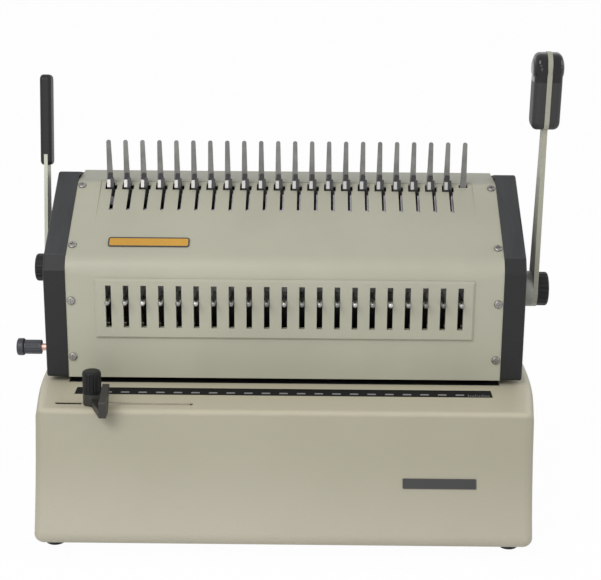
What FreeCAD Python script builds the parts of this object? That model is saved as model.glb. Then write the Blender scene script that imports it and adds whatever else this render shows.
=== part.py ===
import FreeCAD, Part
import math
import os

from FreeCAD import Placement, Rotation, Vector

# Manual comb punch-and-bind machine, in millimetres.
# +X is the operator's right, +Y is away from the operator, +Z is up.
# The origin is on the table, under the middle of the base.

# Comb pattern: one punch, hook, selector and slot for each hole of the sheet
PITCH = 14.2875
HOLES = 21
FINGERS = HOLES + 1
HOOK_SHIFT = 3.4

# Base housing
BASE_SIDE = ((193.0, -161.0), (195.0, -110.0), (203.5, -40.0), (205.5, 30.0), (196.0, 150.0))
BASE_SHIFT = 1.5
BASE_FRONT = -152.0
BASE_BACK = 150.0
BASE_BOTTOM = 10.0
DECK = 105.0
DECK_FRONT = -101.7
BASE_EDGE_RADIUS = 7.5
WALL = 2.5

# Upper case: side view of the cover, read round from the throat
THROAT_TOP = 109.4
PANEL = -38.0
FOLD_Z = 207.0
BEND_Y = 47.0
BEND_Z = 257.0
TOP_BACK = 93.0
CASE_BACK = 124.0
COVER_T = 2.0
FOLD_RADIUS = 18.0
BEND_RADIUS = 22.0
BACK_RADIUS = 6.0
COVER_HALF = 177.7
PAD_PROUD = 2.6
CAP_IN = 177.8
CAP_OUT = 195.8
CAP_WALL = 2.5
CAP_PROUD = 0.7

# Side frames
FRAME_IN = 169.5
FRAME_OUT = 177.5
FRAME_T = FRAME_OUT - FRAME_IN

# Punch
PUNCH_Y = -5.0
PUNCH_WIDTH = 8.0
PUNCH_DEPTH = 3.0
PUNCH_BOTTOM = 111.4
PUNCH_TOP = 188.0
DIE_BOTTOM = 97.0
DIE_FRONT = -37.6
GUIDE_TOP = 121.5
BAR_FRONT = -17.0
BAR_BACK = 4.0
BAR_BOTTOM = 172.8
BAR_TOP = 200.0
BAR_HALF = 166.0

# Selectors
SELECTOR_Z = 176.2
SELECTOR_R = 1.8
SELECTOR_HEAD_R = 2.05
SELECTOR_TIP = -50.0
SLOT_WIDTH = 4.6
FRONT_SLOT_TOP = 188.8
FRONT_SLOT_BOTTOM = 153.2

# Shafts and gears
MODULE = 1.5
PRESSURE_ANGLE = math.radians(20.0)
BACKLASH = 0.16
SHAFT_R = 6.0
FIT = 0.05
DRIVE_Y = 21.0
DRIVE_Z = 171.5
DRIVE_TEETH = 14
DRIVE_PINION_X = 100.0
OPENER_Y = 50.0
OPENER_Z = 178.5
OPENER_TEETH = 25
OPENER_PINION_X = 150.0
PINION_WIDTH = 10.0
BUSH_R = 9.0

# Comb opener: places down the slope are from the bend, heights are out of the slope
RECESS_HALF = 158.0
RECESS_END = 50.0
RECESS_DEPTH = 1.2
FINGER_SLIT_START = 1.4
FINGER_SLIT_END = 5.1
HOOK_WINDOW_END = 10.5
HOOK_SLOT_END = 36.2
HOOK_SLOT_WIDTH = 3.2
HOOK_TRAVEL = 21.7
CARRIER_START = 9.8
CARRIER_END = 34.0
CARRIER_TOP = -6.0
CARRIER_BOTTOM = -8.5
RACK_BLOCK_END = 22.0
FINGER_LEAN = math.radians(7.0)
FINGER_FROM_BEND = 3.9
FINGER_TIP_Z = 293.0
FINGER_RAIL_TOP = 250.0
FINGER_RAIL_LOW = 238.0
FINGER_ROOT_WIDTH = 5.0
FINGER_TIP_WIDTH = 3.6
FINGER_T = 2.0

# Levers
PUNCH_LEVER_LEAN = math.radians(5.0)
PUNCH_LEVER_LENGTH = 202.5
PUNCH_ARM_IN = 208.4
PUNCH_ARM_OUT = 212.3
PUNCH_GRIP_IN = 197.6
PUNCH_GRIP_OUT = 222.4
PUNCH_GRIP_LENGTH = 62.0
PUNCH_GRIP_DEPTH = 24.0
PUNCH_HEAD_LENGTH = 23.5
PUNCH_HEAD_DEPTH = 26.0
COMB_LEVER_LEAN = math.radians(-10.0)
COMB_LEVER_LENGTH = 166.0
COMB_ARM_IN = -205.5
COMB_ARM_OUT = -208.5
COMB_GRIP_X = -206.9
COMB_GRIP_T = 9.8
COMB_GRIP_LENGTH = 77.2
COMB_GRIP_DEPTH = 16.0

# Edge guide and depth stop
GUIDE_SLOT_Y = -87.4
GUIDE_SLOT_LEFT = -181.0
GUIDE_SLOT_RIGHT = -71.0
GUIDE_SLOT_WIDTH = 5.0
GUIDE_KNOB_X = -151.1
GUIDE_TOP_Z = 114.8
GUIDE_FRONT = -120.6
STOP_Y = 8.0
STOP_Z = 119.5

hole_xs = [PITCH * (i - (HOLES - 1) / 2) for i in range(HOLES)]
finger_xs = [PITCH * (i - (FINGERS - 1) / 2) for i in range(FINGERS)]

# Slope of the upper case: s runs down the slope from the bend, n out of it
slope_length = math.hypot(BEND_Y - PANEL, BEND_Z - FOLD_Z)
slope_dy = (PANEL - BEND_Y) / slope_length
slope_dz = (FOLD_Z - BEND_Z) / slope_length
back_length = math.hypot(CASE_BACK - TOP_BACK, BEND_Z - THROAT_TOP)
back_dy = (CASE_BACK - TOP_BACK) / back_length
back_dz = (THROAT_TOP - BEND_Z) / back_length


def on_slope(s, n):
    """Side-view point at s down the slope and n out of it."""
    return (BEND_Y + s * slope_dy + n * slope_dz, BEND_Z + s * slope_dz - n * slope_dy)


def on_back(s, n):
    """Side-view point at s down the rear wall and n out of it."""
    return (TOP_BACK + s * back_dy - n * back_dz, BEND_Z + s * back_dz + n * back_dy)


def box(x0, x1, y0, y1, z0, z1):
    return Part.makeBox(x1 - x0, y1 - y0, z1 - z0, Vector(x0, y0, z0))


def rod_x(r, x0, x1, y, z):
    return Part.makeCylinder(r, x1 - x0, Vector(x0, y, z), Vector(1, 0, 0))


def rod_y(r, y0, y1, x, z):
    return Part.makeCylinder(r, y1 - y0, Vector(x, y0, z), Vector(0, 1, 0))


def rod_z(r, z0, z1, x, y):
    return Part.makeCylinder(r, z1 - z0, Vector(x, y, z0), Vector(0, 0, 1))


def outline(points):
    """Edges through (a, b, radius) corners, each corner rounded by its radius."""
    edges = []
    starts = []
    ends = []
    count = len(points)
    for i in range(count):
        a, b, r = points[i]
        here = Vector(a, b, 0)
        before = Vector(points[i - 1][0], points[i - 1][1], 0)
        after = Vector(points[(i + 1) % count][0], points[(i + 1) % count][1], 0)
        if r <= 0:
            starts.append(here)
            ends.append(here)
            continue
        u = (before - here).normalize()
        v = (after - here).normalize()
        half = u.getAngle(v) / 2
        reach = r / math.tan(half)
        middle = (u + v).normalize()
        centre = here + middle * (r / math.sin(half))
        starts.append(here + u * reach)
        ends.append(here + v * reach)
        edges.append((i, Part.Arc(starts[i], centre - middle * r, ends[i]).toShape()))
    arcs = dict(edges)
    chain = []
    for i in range(count):
        if i in arcs:
            chain.append(arcs[i])
        step = starts[(i + 1) % count] - ends[i]
        if step.Length > 1e-6:
            chain.append(Part.LineSegment(ends[i], starts[(i + 1) % count]).toShape())
    return Part.Wire(chain)


def side_prism(points, x0, x1):
    """Solid with the given side-view outline, from x0 to x1."""
    corners = [p if len(p) == 3 else (p[0], p[1], 0) for p in points]
    face = Part.Face(outline(corners))
    face.rotate(Vector(0, 0, 0), Vector(1, 1, 1), 120)
    face.translate(Vector(x0, 0, 0))
    return face.extrude(Vector(x1 - x0, 0, 0))


def top_prism(points, z0, z1):
    """Solid with the given plan outline, from z0 to z1."""
    corners = [p if len(p) == 3 else (p[0], p[1], 0) for p in points]
    face = Part.Face(outline(corners))
    face.translate(Vector(0, 0, z0))
    return face.extrude(Vector(0, 0, z1 - z0))


def slope_block(x0, x1, s0, s1, n0, n1):
    """Block square to the slope of the upper case."""
    return side_prism([on_slope(s0, n0), on_slope(s1, n0), on_slope(s1, n1), on_slope(s0, n1)], x0, x1)


def mirrored(shape):
    return shape.mirror(Vector(0, 0, 0), Vector(1, 0, 0))


def both_sides(shape):
    return [shape, mirrored(shape)]


def save(node, *solids):
    """Write one node: a single solid, or several separate ones."""
    pieces = []
    for shape in solids:
        pieces += shape.Solids
    whole = pieces[0] if len(pieces) == 1 else Part.makeCompound(pieces)
    for piece in pieces:
        if not piece.isValid() or piece.Volume <= 0:
            print("check", node, piece.isValid(), piece.Volume)
    whole.exportStep("parts/" + node + ".step")


# Base housing


def base_form(inset, bottom):
    """Outer or inner form of the base: swelling sides, sloping front, rounded edges.

    It sits a little to the right of the case, as it does on the real machine.
    """
    back = BASE_BACK - inset
    top = DECK - inset
    run = DECK_FRONT - BASE_FRONT
    rise = DECK - BASE_BOTTOM
    slant = inset * math.hypot(run, rise) / rise
    low_front = BASE_FRONT + slant + run * (bottom - BASE_BOTTOM) / rise
    high_front = BASE_FRONT + slant + run * (top - BASE_BOTTOM) / rise
    side = side_prism(
        [(low_front, bottom), (high_front, top), (back, top), (back, bottom)], -220, 220
    )
    curve = Part.BSplineCurve()
    curve.interpolate([Vector(x - inset, y, 0) for x, y in BASE_SIDE])
    right = curve.toShape()
    start = right.Vertexes[0].Point
    end = right.Vertexes[-1].Point
    rear = Part.LineSegment(end, Vector(-end.x, end.y, 0)).toShape()
    fore = Part.LineSegment(Vector(-start.x, start.y, 0), start).toShape()
    plan = Part.Face(Part.Wire(Part.__sortEdges__([right, rear, mirrored(right), fore])))
    plan.translate(Vector(0, 0, bottom - 1))
    form = side.common(plan.extrude(Vector(0, 0, rise + 10)))
    form = form.makeFillet(BASE_EDGE_RADIUS - inset, form.Edges)
    form.translate(Vector(BASE_SHIFT, 0, 0))
    return form


def base_housing():
    shell = base_form(0, BASE_BOTTOM)
    shell = shell.cut(base_form(WALL, BASE_BOTTOM + 2))
    shell = shell.cut(box(-184, 184, -133, 137, BASE_BOTTOM - 1, BASE_BOTTOM + 8))
    openings = [
        box(-177.8, 177.8, DIE_FRONT - 0.5, 3.8, DECK - 5, DECK + 1),
        box(-160.5, 160.5, 140, 155, 22, 58.5),
        box(-169, 169, -66.7, -50.2, DECK - 1, DECK + 1),
        slot_box(GUIDE_SLOT_LEFT, GUIDE_SLOT_RIGHT, GUIDE_SLOT_Y, GUIDE_SLOT_WIDTH, DECK - 5, DECK + 1),
        slot_box(GUIDE_SLOT_LEFT - 4, GUIDE_SLOT_RIGHT + 4, GUIDE_SLOT_Y, GUIDE_SLOT_WIDTH + 9, DECK - 5, DECK - 0.9),
    ]
    openings += both_sides(box(FRAME_IN - 0.3, FRAME_OUT + 0.3, 3, 100.4, DECK - 5, DECK + 1))
    for opening in openings:
        shell = shell.cut(opening)
    return shell


def slot_box(x0, x1, y, width, z0, z1):
    """Round-ended slot along X."""
    r = width / 2
    ends = rod_z(r, z0, z1, x0 + r, y).fuse(rod_z(r, z0, z1, x1 - r, y))
    return ends.fuse(box(x0 + r, x1 - r, y - r, y + r, z0, z1)).removeSplitter()


def base_bottom_plate():
    plate = box(-183.7, 183.7, -132.7, 136.7, BASE_BOTTOM, BASE_BOTTOM + WALL)
    for rail in both_sides(box(118, 126, -60, 134, BASE_BOTTOM + WALL, 22.2)):
        plate = plate.fuse(rail)
    for x in (-173.5, 173.5):
        for y in (0.0, 70.0):
            plate = plate.cut(rod_z(2.6, BASE_BOTTOM - 1, BASE_BOTTOM + 5, x, y))
    return plate.removeSplitter()


def rubber_feet():
    feet = []
    for x in (-179, 179):
        for y in (-119, 125):
            foot = Part.makeCone(7.6, 9.0, BASE_BOTTOM, Vector(x, y, 0))
            feet.append(foot.makeFillet(1.5, [e for e in foot.Edges if e.BoundBox.ZMax < 0.1]))
    return feet


def chip_drawer():
    tray = box(-158, 158, -58, 147.4, 22.5, 57.0)
    tray = tray.cut(box(-156, 156, -56, 145.0, 24.5, 60.0))
    face = box(-160, 160, 145.2, BASE_BACK, 22.5, 58.0)
    face = face.fuse(tray)
    grip = top_prism([(-30, 152, 0), (30, 152, 0), (24, 146.4, 4), (-24, 146.4, 4)], 40, 52)
    return face.cut(grip).removeSplitter()


def hole_scale_strip():
    strip = box(-168.7, 168.7, -66.4, -50.5, DECK - 1, DECK - 0.1)
    for x in hole_xs:
        strip = strip.cut(box(x - 3.6, x + 3.6, -62.4, -59.0, DECK - 0.4, DECK))
    return strip


# Upper case


def case_corners(inset):
    """Side-view corners of the cover, moved inwards by inset."""
    panel = PANEL + inset
    slope_tan = slope_dz / slope_dy
    base_y, base_z = on_slope(0, -inset)
    fold_z = base_z + (panel - base_y) * slope_tan
    top = BEND_Z - inset
    bend_y = base_y + (top - base_z) / slope_tan
    back_y, back_z = on_back(0, -inset)
    back_top_y = back_y + (top - back_z) * back_dy / back_dz
    return panel, fold_z, bend_y, top, back_top_y


def cover_form(inset, bottom, back_end):
    """Solid below the bent front cover, whose rear end is back_end down the rear wall."""
    panel, fold_z, bend_y, top, back_top_y = case_corners(inset)
    end_y, end_z = on_back(back_end, -inset)
    fold_r = FOLD_RADIUS - inset
    corners = [(panel, bottom), (panel, fold_z, fold_r), (bend_y, top, BEND_RADIUS - inset)]
    corners += [(back_top_y, top, BACK_RADIUS - inset), (end_y, end_z), (0, bottom)]
    return side_prism(corners, -COVER_HALF, COVER_HALF)


def front_cover():
    cover = cover_form(0, THROAT_TOP, 12)
    inner = cover_form(COVER_T, THROAT_TOP, 12)
    end_y, end_z = on_back(12, 3)
    below_y, below_z = on_back(12, -60)
    cover = cover.cut(inner)
    cover = cover.cut(side_prism([(-34, 100), (60, 100), (60, 240), (PANEL + COVER_T, 140)], -180, 180))
    keep = max(cover.Solids, key=lambda piece: piece.Volume)
    cover = keep.cut(side_prism([(end_y, end_z), (below_y, below_z), (0, 90), (150, 90)], -180, 180))
    pad = box(-154.3, 154.3, PANEL - PAD_PROUD, PANEL + 0.5, 143.7, 194.3)
    cover = cover.fuse(pad.makeChamfer(1.8, [e for e in pad.Edges if e.BoundBox.YMax < PANEL - PAD_PROUD + 0.1]))
    for x in hole_xs:
        cover = cover.cut(box(x - SLOT_WIDTH / 2, x + SLOT_WIDTH / 2, -45, -30, FRONT_SLOT_BOTTOM, FRONT_SLOT_TOP))
    recess = [on_slope(0, 2), on_slope(0, -RECESS_DEPTH), on_slope(RECESS_END, 0), on_slope(RECESS_END, 2)]
    cover = cover.cut(side_prism(recess, -RECESS_HALF, RECESS_HALF))
    for x in finger_xs:
        cover = cover.cut(slope_block(x - 3.8, x + 3.8, FINGER_SLIT_START, FINGER_SLIT_END, -8, 4))
    for x in finger_xs[:HOLES]:
        middle = x + HOOK_SHIFT
        half = HOOK_SLOT_WIDTH / 2
        cover = cover.cut(slope_block(x - 3.9, middle + 2.6, FINGER_SLIT_END - 0.5, HOOK_WINDOW_END, -8, 4))
        cover = cover.cut(slope_block(middle - half, middle + half, HOOK_WINDOW_END - 1, HOOK_SLOT_END, -8, 4))
    for x, y, z, axis in cover_screw_places():
        cover = cover.cut(screw_hole(x, y, z, axis, 1.9))
    return max(cover.Solids, key=lambda piece: piece.Volume)


def rear_cover():
    outer = [on_back(12.4, 0), on_back(back_length + 3.6, 0)]
    inner = [on_back(back_length + 3.6, -COVER_T), on_back(12.4, -COVER_T)]
    cover = side_prism(outer + inner, -COVER_HALF, COVER_HALF)
    for x, y, z, axis in rear_screw_places():
        cover = cover.cut(screw_hole(x, y, z, axis, 1.9))
    vents = range(-5, 6)
    for row in (70.0, 82.0, 94.0):
        for i in vents:
            y0, z0 = on_back(row, 4)
            y1, z1 = on_back(row + 4, 4)
            y2, z2 = on_back(row + 4, -6)
            y3, z3 = on_back(row, -6)
            x = i * 14.0
            cover = cover.cut(side_prism([(y0, z0), (y1, z1), (y2, z2), (y3, z3)], x - 5, x + 5))
    return cover


def cover_screw_places():
    """Centre on the sheet's outer face and outward normal of each front screw."""
    places = []
    for x in (-173.5, 173.5):
        for down in (32.0, 80.0):
            places.append((x, PANEL, FOLD_Z - down, Vector(0, -1, 0)))
        for s in (7.1, slope_length - 20.0):
            y, z = on_slope(s, 0)
            places.append((x, y, z, Vector(0, slope_dz, -slope_dy)))
    return places


def rear_screw_places():
    places = []
    for x in (-173.5, 173.5):
        for s in (26.0, 80.0, 134.0):
            y, z = on_back(s, 0)
            places.append((x, y, z, Vector(0, -back_dz, back_dy)))
    return places


def cap_screw_places():
    places = []
    for side in (-1, 1):
        for y, z in ((-22.0, 136.0), (66.0, 236.0), (96.0, 128.0)):
            places.append((side * CAP_OUT, y, z, Vector(side, 0, 0)))
    return places


def turned(shape, x, y, z, axis):
    """Shape built round +Z at the origin, moved to a place and turned to an axis."""
    moved = shape.copy()
    moved.Placement = Placement(Vector(x, y, z), Rotation(Vector(0, 0, 1), axis))
    return moved


def screw_hole(x, y, z, axis, r):
    return turned(Part.makeCylinder(r, 40, Vector(0, 0, -28)), x, y, z, axis)


def pan_screw(length):
    """Cross-recessed pan-head screw with its head on z = 0."""
    head = Part.makeCylinder(3.4, 1.7)
    head = head.makeFillet(1.1, [e for e in head.Edges if e.BoundBox.ZMin > 1.6])
    shank = Part.makeCylinder(1.5, length, Vector(0, 0, -length))
    cross = box(-2.0, 2.0, -0.4, 0.4, 0.7, 2).fuse(box(-0.4, 0.4, -2.0, 2.0, 0.7, 2))
    return head.fuse(shank).cut(cross).removeSplitter()


def case_screws():
    short = pan_screw(8.0)
    long = pan_screw(CAP_OUT - FRAME_OUT + 5.0)
    screws = [turned(short, *place) for place in cover_screw_places() + rear_screw_places()]
    return screws + [turned(long, *place) for place in cap_screw_places()]


def cap_form(inset, x0, x1):
    """Side view of an end cap: a little proud of the cover, its top falling to the back."""
    out = CAP_PROUD - inset
    panel = PANEL - out
    low = THROAT_TOP + inset
    corners = [
        (panel, low, max(2.0 - inset, 0)),
        (panel, 200.4 - inset * 0.4, 0),
        (*on_slope(89.5, out), 0),
        (*on_slope(-9.6 + inset * 0.7, out), 4 - inset),
        (TOP_BACK + 2.0 - inset, BEND_Z - 4.0 - inset, 5 - inset),
        (CASE_BACK + 6.0 - inset, DECK + 1 + inset, max(2.0 - inset, 0)),
        (10.0 + inset, DECK + 1 + inset, 0),
        (10.0 + inset, low, 0),
    ]
    return side_prism(corners, x0, x1)


def right_end_cap():
    cap = cap_form(0, CAP_IN, CAP_OUT)
    rim = [e for e in cap.Edges if e.BoundBox.XMin > CAP_OUT - 0.01]
    cap = cap.makeFillet(2.0, rim)
    cap = cap.cut(cap_form(CAP_WALL, CAP_IN - 1, CAP_OUT - CAP_WALL))
    for x, y, z, axis in cap_screw_places():
        if x > 0:
            cap = cap.fuse(rod_x(4.5, CAP_IN, CAP_OUT - 1, y, z))
    for x, y, z, axis in cap_screw_places():
        if x > 0:
            cap = cap.cut(rod_x(1.9, CAP_IN - 1, CAP_OUT + 1, y, z))
    return cap.removeSplitter()


def end_caps():
    plain = right_end_cap()
    right = plain.cut(rod_x(9.5, CAP_OUT - 5, CAP_OUT + 1, DRIVE_Y, DRIVE_Z))
    left = mirrored(plain)
    left = left.cut(rod_x(9.5, -CAP_OUT - 1, -CAP_OUT + 5, OPENER_Y, OPENER_Z))
    left = left.cut(rod_x(4.5, -CAP_OUT - 1, -CAP_OUT + 5, STOP_Y, STOP_Z))
    return left, right


# Frames


def right_side_frame():
    panel, fold_z, bend_y, top, back_top_y = case_corners(COVER_T)
    low_y, low_z = on_back(back_length + 4.0, -COVER_T)
    corners = [
        (panel, THROAT_TOP),
        (panel, fold_z, FOLD_RADIUS - COVER_T),
        (bend_y, top, BEND_RADIUS - COVER_T + 0.2),
        (back_top_y, top, BACK_RADIUS - COVER_T + 0.2),
        (low_y, low_z),
        (100.0, low_z),
        (100.0, BASE_BOTTOM + WALL),
        (-34.0, BASE_BOTTOM + WALL),
        (-34.0, DIE_BOTTOM),
        (4.0, DIE_BOTTOM),
        (4.0, THROAT_TOP),
    ]
    frame = side_prism(corners, FRAME_IN, FRAME_OUT)
    bar_way = box(FRAME_IN - 1, FRAME_OUT + 1, -11.8, -1.2, BAR_BOTTOM - 17.5, BAR_TOP + 1.5)
    hook_way = slope_block(
        FRAME_IN - 1, FRAME_OUT + 1, CARRIER_START + 1.5, RACK_BLOCK_END + HOOK_TRAVEL - 0.5,
        CARRIER_BOTTOM - 0.3, CARRIER_TOP + 0.3,
    )
    frame = frame.cut(bar_way).cut(hook_way)
    frame = frame.cut(rod_x(BUSH_R, FRAME_IN - 1, FRAME_OUT + 1, DRIVE_Y, DRIVE_Z))
    frame = frame.cut(rod_x(BUSH_R, FRAME_IN - 1, FRAME_OUT + 1, OPENER_Y, OPENER_Z))
    frame = frame.cut(rod_x(4.0 + FIT, FRAME_IN - 1, FRAME_OUT + 1, STOP_Y, STOP_Z))
    for y, z, r in frame_bolt_places():
        frame = frame.cut(rod_x(r + FIT, FRAME_IN - 1, FRAME_OUT + 1, y, z))
    for x, y, z, axis in cover_screw_places() + rear_screw_places() + cap_screw_places():
        if x > 0:
            frame = frame.cut(screw_hole(x, y, z, axis, 1.5 + FIT))
    for y in (0.0, 70.0):
        frame = frame.cut(rod_z(2.5 + FIT, BASE_BOTTOM, BASE_BOTTOM + 18, 173.5, y))
    for y in (-24.0,):
        frame = frame.cut(rod_z(2.0 + FIT, DIE_BOTTOM - 12, DIE_BOTTOM + 1, 173.5, y))
    return frame


def frame_bolt_places():
    """Side-view centre and shank radius of each bolt through a side frame."""
    return [(-24.0, 116.6, 2.5), (-14.0, 116.6, 2.5), (55.0, 243.0, 2.0)]


def socket_bolt(r, length, head_r, head_h):
    """Socket-head bolt with its head on z = 0."""
    bolt = Part.makeCylinder(head_r, head_h).fuse(Part.makeCylinder(r, length, Vector(0, 0, -length)))
    socket = top_prism(
        [(head_r * 0.55 * math.cos(a), head_r * 0.55 * math.sin(a)) for a in sixths()], head_h * 0.4, head_h + 1
    )
    return bolt.cut(socket).removeSplitter()


def sixths():
    return [math.radians(60 * i) for i in range(6)]


def frame_bolts():
    bolts = []
    for side in (-1, 1):
        for y, z, r in frame_bolt_places():
            length = 18.0 if r > 2.2 else FRAME_T + 2.0
            bolt = socket_bolt(r, length, r * 1.7, r * 1.6)
            bolts.append(turned(bolt, side * FRAME_OUT, y, z, Vector(side, 0, 0)))
        for y in (0.0, 70.0):
            bolt = socket_bolt(2.5, 16.0, 4.4, 2.8)
            bolts.append(turned(bolt, side * 173.5, y, BASE_BOTTOM, Vector(0, 0, -1)))
        flat = Part.makeCone(2.0, 4.2, 2.2, Vector(0, 0, -2.2)).fuse(
            Part.makeCylinder(2.0, 18, Vector(0, 0, -18))
        )
        flat = flat.cut(box(-2.2, 2.2, -0.4, 0.4, -0.9, 1))
        bolts.append(turned(flat.removeSplitter(), side * 173.5, -24.0, DECK, Vector(0, 0, 1)))
    return bolts


def die_plate():
    plate = box(-177.2, 177.2, DIE_FRONT, 3.4, DIE_BOTTOM, DECK)
    for x in hole_xs:
        half = PUNCH_WIDTH / 2 + 0.05
        deep = PUNCH_DEPTH / 2 + 0.05
        plate = plate.cut(box(x - half, x + half, PUNCH_Y - deep, PUNCH_Y + deep, DIE_BOTTOM - 1, DECK + 1))
    for x in (-173.5, 173.5):
        plate = plate.cut(rod_z(2.0 + FIT, DIE_BOTTOM - 1, DECK + 1, x, -24.0))
        plate = plate.cut(Part.makeCone(2.0 + FIT, 4.2 + FIT, 2.2, Vector(x, -24.0, DECK - 2.2)))
    return plate


def punch_guide_plate():
    plate = box(-FRAME_IN, FRAME_IN, -29.8, 0.8, THROAT_TOP, GUIDE_TOP)
    for x in hole_xs:
        half = PUNCH_WIDTH / 2 + 0.05
        deep = PUNCH_DEPTH / 2 + 0.05
        plate = plate.cut(box(x - half, x + half, PUNCH_Y - deep, PUNCH_Y + deep, THROAT_TOP - 1, GUIDE_TOP + 1))
    for side in (-1, 1):
        for y, z, r in frame_bolt_places()[:2]:
            x0, x1 = sorted((side * (FRAME_IN - 12), side * (FRAME_IN + 1)))
            plate = plate.cut(rod_x(r + FIT, x0, x1, y, z))
    return plate


# Punch mechanism


def punch_pins():
    pins = []
    for x in hole_xs:
        pin = box(
            x - PUNCH_WIDTH / 2, x + PUNCH_WIDTH / 2, PUNCH_Y - PUNCH_DEPTH / 2, PUNCH_Y + PUNCH_DEPTH / 2,
            PUNCH_BOTTOM, PUNCH_TOP,
        )
        pins.append(pin.cut(rod_y(SELECTOR_R + FIT, -10, 0, x, SELECTOR_Z)))
    return pins


def pressure_bar():
    """Steel bar that carries the punches and holds the selectors."""
    bar = box(-BAR_HALF, BAR_HALF, BAR_FRONT, BAR_BACK, BAR_BOTTOM, BAR_TOP)
    for tongue in both_sides(box(BAR_HALF - 1, 174.0, -11.4, -1.6, BAR_BOTTOM + 1, BAR_TOP - 1)):
        bar = bar.fuse(tongue)
    for x in hole_xs:
        half = PUNCH_WIDTH / 2 + 0.05
        deep = PUNCH_DEPTH / 2 + 0.05
        bar = bar.cut(box(x - half, x + half, PUNCH_Y - deep, PUNCH_Y + deep, BAR_BOTTOM - 1, PUNCH_TOP + 0.2))
        bar = bar.cut(rod_y(SELECTOR_R + FIT, BAR_FRONT - 1, PUNCH_Y + 3.0, x, SELECTOR_Z))
    return bar.removeSplitter()


def selector_pin(x):
    """Pull-out selector: it locks one punch to the pressure bar."""
    shoulder = BAR_FRONT - 0.4
    stem = rod_y(SELECTOR_R, shoulder, PUNCH_Y + 2.0, x, SELECTOR_Z)
    head = rod_y(SELECTOR_HEAD_R, SELECTOR_TIP, shoulder, x, SELECTOR_Z)
    head = head.makeFillet(1.4, [e for e in head.Edges if e.BoundBox.YMax < SELECTOR_TIP + 0.1])
    return head.fuse(stem).removeSplitter()


def involute(a):
    return math.tan(a) - a


def pinion(teeth, x0, x1, y, z, gap_angle):
    """Stub-tooth pinion about X, with a tooth gap centred at gap_angle from +Y to +Z."""
    pitch_r = MODULE * teeth / 2
    base_r = pitch_r * math.cos(PRESSURE_ANGLE)
    tip_r = pitch_r + 0.75 * MODULE
    root_r = pitch_r - MODULE
    half_pitch_tooth = math.pi / (2 * teeth) - BACKLASH / (4 * pitch_r)

    def half_tooth(r):
        turn = math.acos(min(1.0, base_r / r))
        return half_pitch_tooth + involute(PRESSURE_ANGLE) - involute(turn)

    def point(r, angle):
        return Vector(0, y + r * math.cos(angle), z + r * math.sin(angle))

    start_r = max(base_r, root_r)
    middle_r = (start_r + tip_r) / 2
    edges = []
    step = 2 * math.pi / teeth
    for i in range(teeth):
        centre = gap_angle + step * (i + 0.5)
        low = half_tooth(start_r)
        points = [point(root_r, centre - low)]
        points.append(point(start_r, centre - low))
        points.append(point(middle_r, centre - half_tooth(middle_r)))
        points.append(point(tip_r, centre - half_tooth(tip_r)))
        points.append(point(tip_r, centre))
        points.append(point(tip_r, centre + half_tooth(tip_r)))
        points.append(point(middle_r, centre + half_tooth(middle_r)))
        points.append(point(start_r, centre + low))
        points.append(point(root_r, centre + low))
        following = point(root_r, centre + step - low)
        if (points[0] - points[1]).Length > 1e-4:
            edges.append(Part.LineSegment(points[0], points[1]).toShape())
        edges.append(Part.Arc(points[1], points[2], points[3]).toShape())
        edges.append(Part.Arc(points[3], points[4], points[5]).toShape())
        edges.append(Part.Arc(points[5], points[6], points[7]).toShape())
        if (points[7] - points[8]).Length > 1e-4:
            edges.append(Part.LineSegment(points[7], points[8]).toShape())
        edges.append(Part.LineSegment(points[8], following).toShape())
    gear = Part.Face(Part.Wire(edges))
    gear.translate(Vector(x0, 0, 0))
    gear = gear.extrude(Vector(x1 - x0, 0, 0))
    return gear.cut(rod_x(SHAFT_R + FIT, x0 - 1, x1 + 1, y, z))


def rack_outline(length, start, back):
    """Rack in its own (along, out) axes: teeth towards +out, a tooth centred on along = 0."""
    tip = 0.75 * MODULE
    root = -MODULE
    pitch = math.pi * MODULE
    half = pitch / 4 - BACKLASH / 4
    lean = math.tan(PRESSURE_ANGLE)
    first = math.ceil((start + half) / pitch)
    last = math.floor((start + length - half) / pitch)
    points = [(start, back), (start, root)]
    for i in range(first, last + 1):
        points.append((i * pitch - half - lean * MODULE, root))
        points.append((i * pitch - half + lean * tip, tip))
        points.append((i * pitch + half - lean * tip, tip))
        points.append((i * pitch + half + lean * MODULE, root))
    return points + [(start + length, root), (start + length, back)]


def drive_pitch_y():
    return DRIVE_Y - MODULE * DRIVE_TEETH / 2


def punch_racks():
    pitch_y = drive_pitch_y()
    profile = rack_outline(34.0, -8.5, BAR_BACK - pitch_y)
    side = [(pitch_y + out, DRIVE_Z + along) for along, out in profile]
    rack = side_prism(side, DRIVE_PINION_X - 4, DRIVE_PINION_X + 4)
    return both_sides(rack)


def drive_pinions():
    x0 = DRIVE_PINION_X - PINION_WIDTH / 2
    gear = pinion(DRIVE_TEETH, x0, x0 + PINION_WIDTH, DRIVE_Y, DRIVE_Z, math.pi)
    return both_sides(gear)


def drive_shaft():
    shaft = rod_x(SHAFT_R, -FRAME_OUT, PUNCH_ARM_OUT + 2.8, DRIVE_Y, DRIVE_Z)
    return shaft.makeChamfer(0.8, [e for e in shaft.Edges if isinstance(e.Curve, Part.Circle)])


def opener_shaft():
    shaft = rod_x(SHAFT_R, COMB_ARM_OUT - 2.4, FRAME_OUT, OPENER_Y, OPENER_Z)
    return shaft.makeChamfer(0.8, [e for e in shaft.Edges if isinstance(e.Curve, Part.Circle)])


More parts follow.
